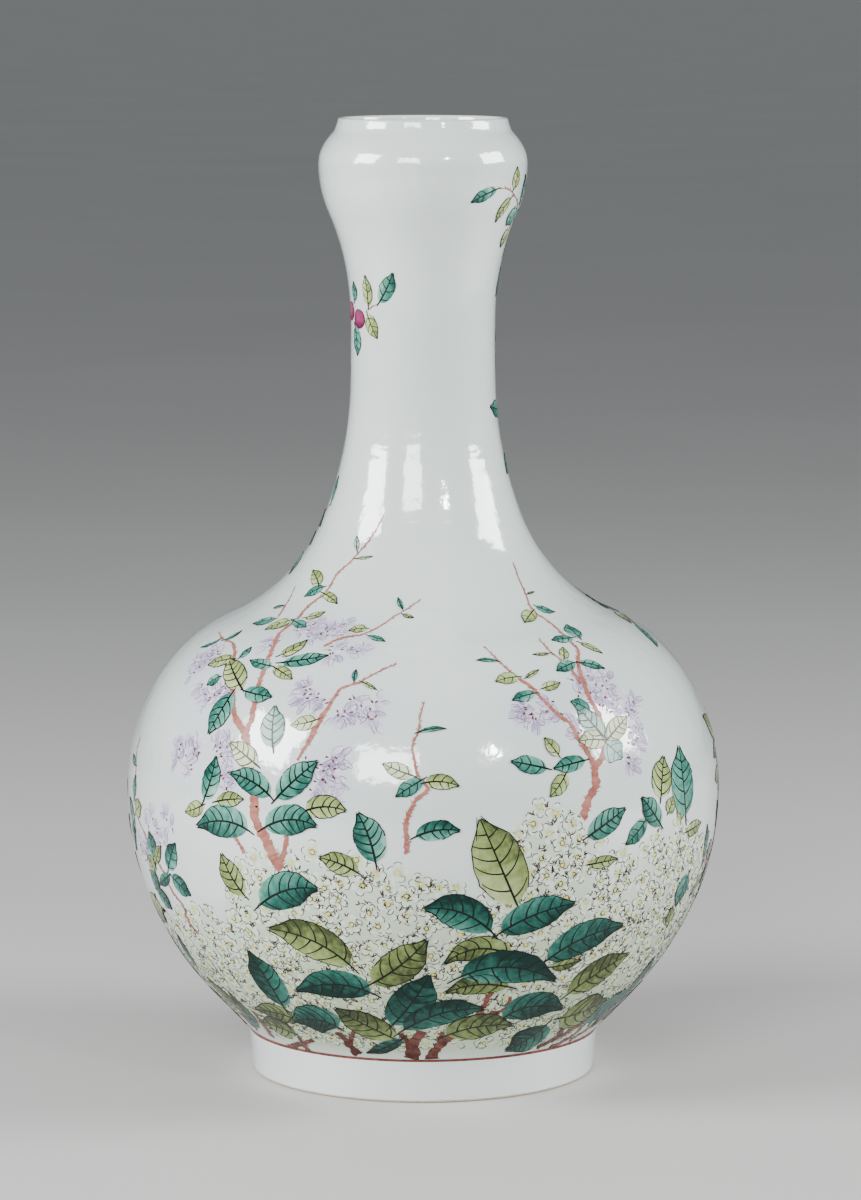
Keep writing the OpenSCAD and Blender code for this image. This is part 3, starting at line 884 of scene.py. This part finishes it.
def lilac_petal(patch, base, heading, length):
    """A slim soft petal, paler at its tip, with fine violet lines along its sides."""
    t = np.linspace(0, 1, LILAC_STATIONS)
    bend = draw.uniform(-0.35, 0.35)
    angle = heading + bend * t
    way = base + np.cumsum(np.stack((np.cos(angle), np.sin(angle)), -1), axis=0) * length / LILAC_STATIONS
    breadth = draw.uniform(*LILAC_BREADTHS) * np.sin(math.pi * (0.08 + 0.86 * t)) ** 0.7
    lift = PETAL_LIFT + draw.uniform(0, 0.03)
    patch.stroke(lilac, way, breadth, lift, draw.uniform(0.5, 1.05) - 0.55 * t, across=3, crown=0.02)
    for side in (-1, 1):
        if draw.random() < LILAC_LINE_CHANCE:
            edge = side * np.stack((-np.sin(angle), np.cos(angle)), -1) * breadth[:, None] / 2
            width = draw.uniform(*LILAC_LINE_WIDTHS)
            patch.stroke(lilac_lines, (way + edge)[1:], width, FINE_LIFT, draw.uniform(0.1, 0.6))


def lilac_spray(sheet, x0, h0, x1, h1, florets, lean):
    """Florets strewn in a box of the sheet that lean one way, each on a dark red calyx and a fine stalk."""
    for x, h in draw.uniform((x0, h0), (x1, h1), (round(LILAC_FULLNESS * florets), 2)):
        patch = patch_at(sheet, x, h)
        outward = math.radians(lean) + draw.normal(0, 0.65)
        for aside in draw.choice((-0.9, -0.45, 0.0, 0.45, 0.9), draw.integers(2, 5), replace=False):
            heading = outward + aside + draw.normal(0, 0.12)
            lilac_petal(patch, towards(heading, 0.6), heading, draw.uniform(*LILAC_LENGTHS))
        dot = (towards(outward, -0.7), towards(outward, 0.6))
        patch.stroke(calyx, dot, CALYX_WIDTHS, FINE_LIFT + 0.03, draw.uniform(0.1, 0.5))
        if draw.random() < STALK_CHANCE:
            end = towards(outward + draw.uniform(-0.4, 0.4), -draw.uniform(1.5, 3.0))
            patch.stroke(calyx, (dot[0], end), STALK_WIDTHS, FINE_LIFT + 0.02, 0.8)


# Berries: the sheet, the place on it, the width and height, and the heading in radians

BERRY_LIFT = 0.22
BERRY_CROWN = 0.1
BERRY_SIDES = 20
BERRY_LINE_WIDTHS = (0.2, 0.45)
BERRIES = (
    (from_front, -29.5, 320, 7.5, 7.6, 1.5), (from_front, -26.4, 316.6, 8.6, 7.8, 1.4),
    (from_right, -26, 97, 7.0, 9.5, 1.0),
)


def berry(sheet, x, h, wide, tall, heading):
    """A rose berry over its twig, with a dark outline on its front."""
    patch = patch_at(sheet, x, h)
    tones = (0.3, 0.95, 0.5)
    patch.blob(berries, (0, 0), tall, wide, heading, BERRY_LIFT, BERRY_CROWN, tones, sides=BERRY_SIDES)
    rim = oval(tall, wide, heading, np.linspace(-4.4, 1.2, BERRY_SIDES))
    patch.stroke(calyx, rim, draw.uniform(*BERRY_LINE_WIDTHS, BERRY_SIDES), BERRY_LIFT + 0.03, 0.0)


def paint_plants(sheet, sprays, stems):
    for spray in sprays:
        lilac_spray(sheet, *spray)
    for stem in stems:
        branch(sheet, *stem)


def paint_vase():
    """The pattern, from what lies deepest to what lies on top, and then what each side has for itself."""
    scatter_blossoms()
    paint_plants(from_front, LILAC, BRANCHES)
    paint_plants(from_right, SIDE_LILAC, SIDE_BRANCHES)
    upper = LEFT_SHRUB_LEAVES + CENTRE_SPRIG_LEAVES + RIGHT_SHRUB_LEAVES
    for order, entry in enumerate(upper + EDGE_LEAVES + LOW_BAND_LEAVES + HEAD_LEAVES):
        front_leaf(order, *entry)
    for order, entry in enumerate(SIDE_LEAVES):
        side_leaf(from_right, order, *entry)
    for entry in BERRIES:
        berry(*entry)
    for _, paint, _, _ in LAYERS:
        paint.end_pattern()
    paint_plants(from_right, RIGHT_LILAC, RIGHT_BRANCHES)
    paint_plants(from_left, (), LEFT_BRANCHES)
    for sheet, leaves in ((from_right, RIGHT_LEAVES), (from_left, LEFT_LEAVES)):
        for order, entry in enumerate(leaves):
            side_leaf(sheet, order, *entry)


# Materials

COAT_ROUGHNESS = 0.09
COAT_IOR = 1.7
GLAZE_ROUGHNESS = 0.13
GLAZE_CLOUD = 9.0
# Waves of the glaze, each as a scale of noise and a height, in units of WAVE_DEPTH
WAVES = ((28.0, 36.0), (90.0, 38.0), (200.0, 22.0))
WAVE_DETAIL = 2.0
WAVE_DEPTH = 0.006
SPECK_SCALE = 22.0
SPECK_SIZE = 0.012
SPECK_STRENGTH = 0.75
# The bare rim under the foot: its height, how much that wavers, and how much rougher it is than the glaze
BARE_RIM = 0.7
BARE_WAVER = 0.8
BARE_WAVER_SCALE = 60.0
BARE_GRAIN = 900.0
BARE_ROUGHER = 0.6
ENAMEL_ROUGHNESS = 0.14
ENAMEL_GLOSS = 0.16
ENAMEL_GRAIN = 420.0
ENAMEL_CLOUD = 0.55
ENAMEL_RELIEF = 0.02
FLOOR_ROUGHNESS = 0.55
FLOOR_CLOUD = 2.0
FLOOR_GRAIN = 300.0
FLOOR_RELIEF = 0.02
# Colours as 0 to 255 screen levels, and those of the enamels by tone
WHITE_GLAZE = (217, 229, 225)
FOOT_GLAZE = (219, 230, 226)
CLOUDED = 4
# The green haze colour at full strength, which low on the body is painted shade
GREEN_TINT = (184, 199, 168)
LILAC_TINT = (206, 208, 222)
IRON_SPECK = (96, 78, 60)
BISCUIT = ((0.3, (196, 178, 152)), (0.7, (222, 208, 186)))
FLOOR = ((0.3, (188, 188, 186)), (0.7, (192, 192, 190)))
ENAMELS = {
    "iron_red": ((0.0, (184, 130, 118)), (0.4, (154, 94, 82)), (1.0, (72, 28, 22))),
    "turquoise": ((0.0, (166, 203, 189)), (0.4, (86, 148, 132)), (0.7, (38, 97, 86)), (1.0, (10, 44, 39))),
    "olive": ((0.0, (208, 218, 176)), (0.4, (170, 184, 126)), (0.7, (130, 146, 86)), (1.0, (64, 73, 42))),
    "black_line": ((0.0, (10, 16, 13)), (0.5, (30, 40, 34)), (1.0, (104, 112, 96))),
    "dark_red": ((0.1, (78, 32, 42)), (0.5, (112, 68, 78)), (0.9, (154, 112, 120))),
    # The dark green end of white_petal is the petals' green base and also their painted shade low on the vase
    "white_petal": ((0.0, (224, 234, 223)), (0.5, (202, 216, 190)), (1.0, (168, 190, 132))),
    "brown_line": ((0.0, (34, 27, 24)), (0.5, (84, 74, 56)), (1.0, (150, 144, 120))),
    "yellow": ((0.2, (236, 224, 136)), (0.9, (190, 168, 70))),
    "lilac": ((0.0, (222, 221, 233)), (0.5, (192, 187, 208)), (1.0, (148, 136, 170))),
    "violet_line": ((0.0, (100, 82, 118)), (1.0, (160, 147, 180))),
    "magenta": ((0.1, (166, 80, 122)), (0.8, (100, 22, 62))),
}


def srgb(*levels):
    """A colour by its 0 to 255 screen levels, as linear light."""
    return tuple((c / 255 / 12.92 if c < 11 else ((c / 255 + 0.055) / 1.055) ** 2.4) for c in levels) + (1.0,)


class Finish:
    """A material with its nodes at hand. Places are the object's own, which are the vase's, in metres."""

    def __init__(self, name, roughness, coat=0.0, gloss=0.5):
        self.material = bpy.data.materials.new(name)
        self.material.use_nodes = True
        self.tree = self.material.node_tree
        self.shader = self.tree.nodes["Principled BSDF"]
        self.feed(self.shader, {"Roughness": roughness, "Specular IOR Level": gloss, "Coat Weight": coat,
                                "Coat Roughness": COAT_ROUGHNESS, "Coat IOR": COAT_IOR})
        self.where = self.node("ShaderNodeTexCoord", {}).outputs["Object"]

    def feed(self, node, inputs):
        """Gives each input a plain value, or links it to another node's output."""
        for key, value in inputs.items():
            if isinstance(value, (int, float, tuple)):
                node.inputs[key].default_value = value
            else:
                self.tree.links.new(value, node.inputs[key])

    def node(self, kind, inputs, **settings):
        node = self.tree.nodes.new(kind)
        for key, value in settings.items():
            setattr(node, key, value)
        self.feed(node, inputs)
        return node

    def noise(self, scale, detail=3.0):
        inputs = {"Vector": self.where, "Scale": scale, "Detail": detail}
        return self.node("ShaderNodeTexNoise", inputs).outputs["Fac"]

    def attribute(self, name):
        return self.node("ShaderNodeAttribute", {}, attribute_name=name).outputs["Fac"]

    def math(self, operation, a, b):
        return self.node("ShaderNodeMath", {0: a, 1: b}, operation=operation).outputs["Value"]

    def mix(self, factor, a, b):
        return self.node("ShaderNodeMix", {0: factor, 6: a, 7: b}, data_type="RGBA").outputs[2]

    def ramp(self, factor, *stops):
        node = self.node("ShaderNodeValToRGB", {"Fac": factor})
        elements = node.color_ramp.elements
        while len(elements) < len(stops):
            elements.new(0.5)
        for element, (position, levels) in zip(elements, stops):
            element.position = position
            element.color = srgb(*levels)
        return node.outputs["Color"]

    def colour(self, output):
        self.feed(self.shader, {"Base Color": output})

    def bump(self, height, depth):
        node = self.node("ShaderNodeBump", {"Strength": 1.0, "Distance": depth, "Height": height})
        normal = node.outputs["Normal"]
        self.feed(self.shader, {"Normal": normal, "Coat Normal": normal})


def glaze(name, white, rim=False):
    """White glaze with a faint cool cloudiness, iron specks, painted hazes, the green one deepened low on the
    body as painted shade, and a slightly wavy gloss.
    """
    finish = Finish(name, GLAZE_ROUGHNESS, coat=1.0)
    cloud = finish.ramp(finish.noise(GLAZE_CLOUD), (0.3, [level - CLOUDED for level in white]), (0.7, white))
    green = finish.mix(finish.attribute("green_haze_and_shade"), cloud, srgb(*GREEN_TINT))
    tinted = finish.mix(finish.attribute("lilac_haze"), green, srgb(*LILAC_TINT))
    speck = finish.node("ShaderNodeTexVoronoi", {"Vector": finish.where, "Scale": SPECK_SCALE})
    dot = finish.math("LESS_THAN", speck.outputs["Distance"], SPECK_SIZE)
    body = finish.mix(finish.math("MULTIPLY", dot, SPECK_STRENGTH), tinted, srgb(*IRON_SPECK))
    if rim:
        height = finish.node("ShaderNodeSeparateXYZ", {"Vector": finish.where}).outputs["Z"]
        wobble = finish.math("MULTIPLY", finish.noise(BARE_WAVER_SCALE), BARE_WAVER * MM)
        bare = finish.math("LESS_THAN", height, finish.math("ADD", wobble, BARE_RIM * MM))
        body = finish.mix(bare, body, finish.ramp(finish.noise(BARE_GRAIN), *BISCUIT))
        rougher = finish.math("MULTIPLY", bare, BARE_ROUGHER)
        finish.feed(finish.shader, {"Roughness": finish.math("ADD", rougher, GLAZE_ROUGHNESS)})
    finish.colour(body)
    wave = 0.0
    for scale, swell in WAVES:
        wave = finish.math("ADD", wave, finish.math("MULTIPLY", finish.noise(scale, WAVE_DETAIL), swell))
    finish.bump(wave, WAVE_DEPTH * MM)
    return finish.material


def enamel(name, stops):
    """Fused enamel whose colour follows the tone of each brush load, clouded by its pigment."""
    finish = Finish(name, ENAMEL_ROUGHNESS, gloss=ENAMEL_GLOSS)
    cloud = finish.math("SUBTRACT", finish.noise(ENAMEL_GRAIN), 0.5)
    tone = finish.math("ADD", finish.attribute("tone"), finish.math("MULTIPLY", cloud, ENAMEL_CLOUD))
    finish.colour(finish.ramp(tone, *stops))
    finish.bump(finish.noise(ENAMEL_GRAIN * 2), ENAMEL_RELIEF * MM)
    return finish.material


def floor_finish():
    finish = Finish("pale_floor", FLOOR_ROUGHNESS)
    finish.colour(finish.ramp(finish.noise(FLOOR_CLOUD), *FLOOR))
    finish.bump(finish.noise(FLOOR_GRAIN), FLOOR_RELIEF * MM)
    return finish.material


# Pieces: the layers of the painting, each with its enamel, the record's slot and its material

LAYERS = (
    ("turquoise_leaves", turquoise, "turquoise_enamel", "turquoise"),
    ("olive_leaves", olive, "olive_enamel", "olive"),
    ("leaf_lines", lines, "black_enamel", "black_line"),
    ("branches", branches, "iron_red", "iron_red"),
    ("calyx_marks", calyx, "iron_red", "dark_red"),
    ("blossom_petals", petals, "white_enamel", "white_petal"),
    ("blossom_lines", petal_lines, "black_enamel", "brown_line"),
    ("blossom_stamens", stamens, "black_enamel", "brown_line"),
    ("blossom_hearts", hearts, "yellow_enamel", "yellow"),
    ("lilac_petals", lilac, "lilac_enamel", "lilac"),
    ("lilac_lines", lilac_lines, "lilac_enamel", "violet_line"),
    ("berries", berries, "pink_enamel", "magenta"),
)
FOOT_LINE_TONE = 0.8
# The green haze begins above the blossom, deepens below its top edge, where its further deepening lower down
# is painted shade, and ends near the foot
GREEN_ABOVE = 4.0
GREEN_SPAN = 16.0
GREEN_PAINTED_SHADE_SPAN = 70.0
GREEN_LOW_Z = 18.0
GREEN_LOW_SPAN = 10.0
# The lilac haze of one spray, the most of all sprays, and its reach as a share of the box and a margin
LILAC_HAZE = 0.5
LILAC_HAZE_MOST = 0.7
LILAC_HAZE_SHARE = 0.7
LILAC_HAZE_MARGIN = 4


def hazes(turn, run):
    """Pale green under the blossom, stronger lower down as painted shade, and lilac round the pattern's
    sprays, as shares from 0 to 1.
    """
    depth = below_crest(turn, run)
    green = smoothstep((depth + GREEN_ABOVE) / GREEN_SPAN)
    green *= smoothstep((run - run_at(GREEN_LOW_Z)) / GREEN_LOW_SPAN)
    # Stronger further below the top edge: painted shade
    green *= 0.5 + 0.5 * smoothstep(depth / GREEN_PAINTED_SHADE_SPAN)
    violet = np.zeros_like(turn)
    for sheet, sprays in ((from_front, LILAC), (from_right, SIDE_LILAC)):
        for x0, h0, x1, h1, *_ in sprays:
            middle_turn, middle_run = sheet(((x0 + x1) / 2, (h0 + h1) / 2))
            u, v = half_turn(turn - middle_turn) * radius_at(run), run - middle_run
            wide = abs(x1 - x0) * LILAC_HAZE_SHARE + LILAC_HAZE_MARGIN
            tall = (h1 - h0) * LILAC_HAZE_SHARE + LILAC_HAZE_MARGIN
            violet += LILAC_HAZE * np.exp(-(u / wide) ** 2 - (v / tall) ** 2)
    return green, np.minimum(violet, LILAC_HAZE_MOST)


def stretches(loop):
    """The loop cut at its corners, each stretch a smooth curve. A stretch along the axis is left out."""
    ahead = np.roll(loop, -1, axis=0) - loop
    heading = np.arctan2(ahead[:, 1], ahead[:, 0])
    bend = (heading - np.roll(heading, 1) + math.pi) % math.tau - math.pi
    corners = np.nonzero(np.abs(bend) > CORNER)[0]
    cuts = []
    for start, end in zip(corners, np.append(corners[1:], corners[0] + len(loop))):
        points = loop[np.arange(start, end + 1) % len(loop)]
        if points[:, 0].max() > 0:
            cuts.append(np.clip(spline(points, RING_STEP), loop.min(0), loop.max(0)))
    return cuts


def section_rings(node):
    """The node's section as rings in order, where its stretches start, and whether it closes on itself."""
    cuts = stretches(half_section(node))
    on_axis = [i for i, cut in enumerate(cuts) if cut[0, 0] == 0]
    if on_axis:
        cuts = cuts[on_axis[0]:] + cuts[:on_axis[0]]
    closed = not on_axis
    rings = np.vstack([cut[:-1] for cut in cuts] + ([] if closed else [cuts[-1][-1:]]))
    starts = np.cumsum([0] + [len(cut) - 1 for cut in cuts])[:-1]
    return rings, starts, closed


def strip_between(low, low_size, high, high_size):
    """Faces between two rings, given by their first point and size. A ring on the axis is one point."""
    j = np.arange(SEGMENTS)
    k = (j + 1) % SEGMENTS
    corners = [low + j % low_size, low + k % low_size, high + k % high_size, high + j % high_size]
    if low_size == 1:
        del corners[1]
    elif high_size == 1:
        del corners[2]
    return np.stack(corners, -1)


def lathe(node, finish):
    """A smooth turned piece with the node's own section. Its outer skin runs on without a seam."""
    rings, starts, closed = section_rings(node)
    r, z = rings.T
    skin = np.abs(r - np.interp(z, SKIN_Z, CAD_R)) < SKIN_REACH
    skin &= (z > SKIN_Z[0] + FOOT_END) & (z < SKIN_Z[-1] - LIP_END)
    r = np.where(skin, np.interp(z, SKIN_Z, SKIN_R), r)
    turn = np.arange(SEGMENTS) * math.tau / SEGMENTS
    sizes = np.where(r > 0, SEGMENTS, 1)
    first = np.concatenate(([0], np.cumsum(sizes)))
    owner = np.repeat(np.arange(len(r)), sizes)
    angle = np.concatenate([turn[:size] for size in sizes])
    points = np.stack((r[owner] * np.sin(angle), -r[owner] * np.cos(angle), z[owner]), -1)
    faces, normals = [], []
    for i in range(len(r) if closed else len(r) - 1):
        n = (i + 1) % len(r)
        strip = strip_between(first[i], sizes[i], first[n], sizes[n])
        faces += strip.tolist()
        facing = np.zeros(strip.shape + (3,))
        if skin[i] and skin[n]:
            facing = on_skin(angle[strip], run_at(z[owner[strip]]), 0.0)[1]
        normals.append(facing.reshape(-1, 3))
    piece = new_piece(node + "_glazed", points, faces, finish)
    mesh = piece.data
    ends = np.zeros(len(mesh.edges) * 2, int)
    mesh.edges.foreach_get("vertices", ends)
    a, b = owner[ends.reshape(-1, 2)].T
    sharp = mesh.attributes.new("sharp_edge", "BOOLEAN", "EDGE")
    sharp.data.foreach_set("value", (a == b) & np.isin(a, starts))
    mesh.normals_split_custom_set(np.vstack(normals).tolist())
    green, violet = hazes(angle, run_at(z[owner]))
    give(mesh, "green_haze_and_shade", np.where(skin[owner], green, 0))
    give(mesh, "lilac_haze", np.where(skin[owner], violet, 0))
    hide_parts(node)
    return piece


def lay(name, paint, finish):
    """Lays the enamel on the vase, and its pattern again half a round further."""
    once = np.vstack(paint.points)
    again = once[:paint.pattern_points] + (math.pi, 0, 0, 0)
    turn, run, lift, tone = np.vstack((once, again)).T
    points, normals = on_skin(turn, run, lift)
    faces = np.vstack(paint.faces)
    faces = np.vstack((faces, faces[:paint.pattern_faces] + len(once)))
    piece = new_piece(name, points, faces.tolist(), finish)
    give(piece.data, "tone", tone)
    piece.data.normals_split_custom_set_from_vertices(normals.tolist())
    return piece


def build_vase():
    white = glaze("white_glaze", WHITE_GLAZE)
    foot_white = glaze("foot_glaze", FOOT_GLAZE, rim=True)
    enamels = {name: enamel(name, stops) for name, stops in ENAMELS.items()}
    for node in CLAY_NODES:
        slot = "slip" if node.endswith("luting") else "porcelain"
        lathe(node, foot_white if node == "foot_ring" else white)
    line = lathe("foot_line", enamels["iron_red"])
    give(line.data, "tone", np.full(len(line.data.vertices), FOOT_LINE_TONE))
    paint_vase()
    for name, paint, slot, material in LAYERS:
        lay(name, paint, enamels[material])


# Floor, light and camera

AIM = Vector((0, 0, 180)) * MM
FLOOR_REACH = 250.0
# Soft lights: name, turn, rise, distance, width, height and power
SOFTBOXES = (
    ("left_box", -68, 26, 1.7, 0.80, 0.70, 42),
    ("front_box", -15, 24, 2.3, 0.85, 0.70, 30),
    ("bare_lamp", 29, 29, 2.2, 0.14, 0.14, 7),
    ("right_box", 86, 25, 1.6, 0.75, 0.65, 34),
)
ROOM_LIGHT = 0.30
ROOM_COLOUR = (0.92, 0.96, 1.0, 1.0)


def softbox(name, turn, rise, distance, wide, tall, power):
    """A soft light that faces the vase from a turn right of the front and a rise above level, in degrees."""
    data = bpy.data.lights.new(name, "AREA")
    data.shape = "RECTANGLE"
    data.size, data.size_y = wide, tall
    data.energy = power
    lamp = place_object(name, data)
    turn, rise = math.radians(turn), math.radians(rise)
    ray = Vector((math.sin(turn) * math.cos(rise), -math.cos(turn) * math.cos(rise), math.sin(rise)))
    lamp.location = AIM + ray * distance
    lamp.rotation_euler = (-ray).to_track_quat("-Z", "Y").to_euler()


def build_stage():
    corners = [(x * FLOOR_REACH, y * FLOOR_REACH, 0) for x, y in ((-1, -1), (1, -1), (1, 1), (-1, 1))]
    mesh = bpy.data.meshes.new("floor")
    mesh.from_pydata(corners, [], [(0, 1, 2, 3)])
    mesh.materials.append(floor_finish())
    floor = place_object("floor", mesh)
    for box in SOFTBOXES:
        softbox(*box)
    world = bpy.data.worlds.new("room")
    world.use_nodes = True
    background = world.node_tree.nodes["Background"]
    background.inputs["Color"].default_value = ROOM_COLOUR
    background.inputs["Strength"].default_value = ROOM_LIGHT
    bpy.context.scene.world = world


def build_camera():
    data = bpy.data.cameras.new("camera")
    data.lens = LENS
    camera = place_object("camera", data)
    camera.location = Vector(EYE) * MM
    camera.rotation_euler = (math.pi / 2 - LOOK_DOWN, 0, -LOOK_RIGHT)
    bpy.context.scene.camera = camera


build_camera()
build_stage()
build_vase()
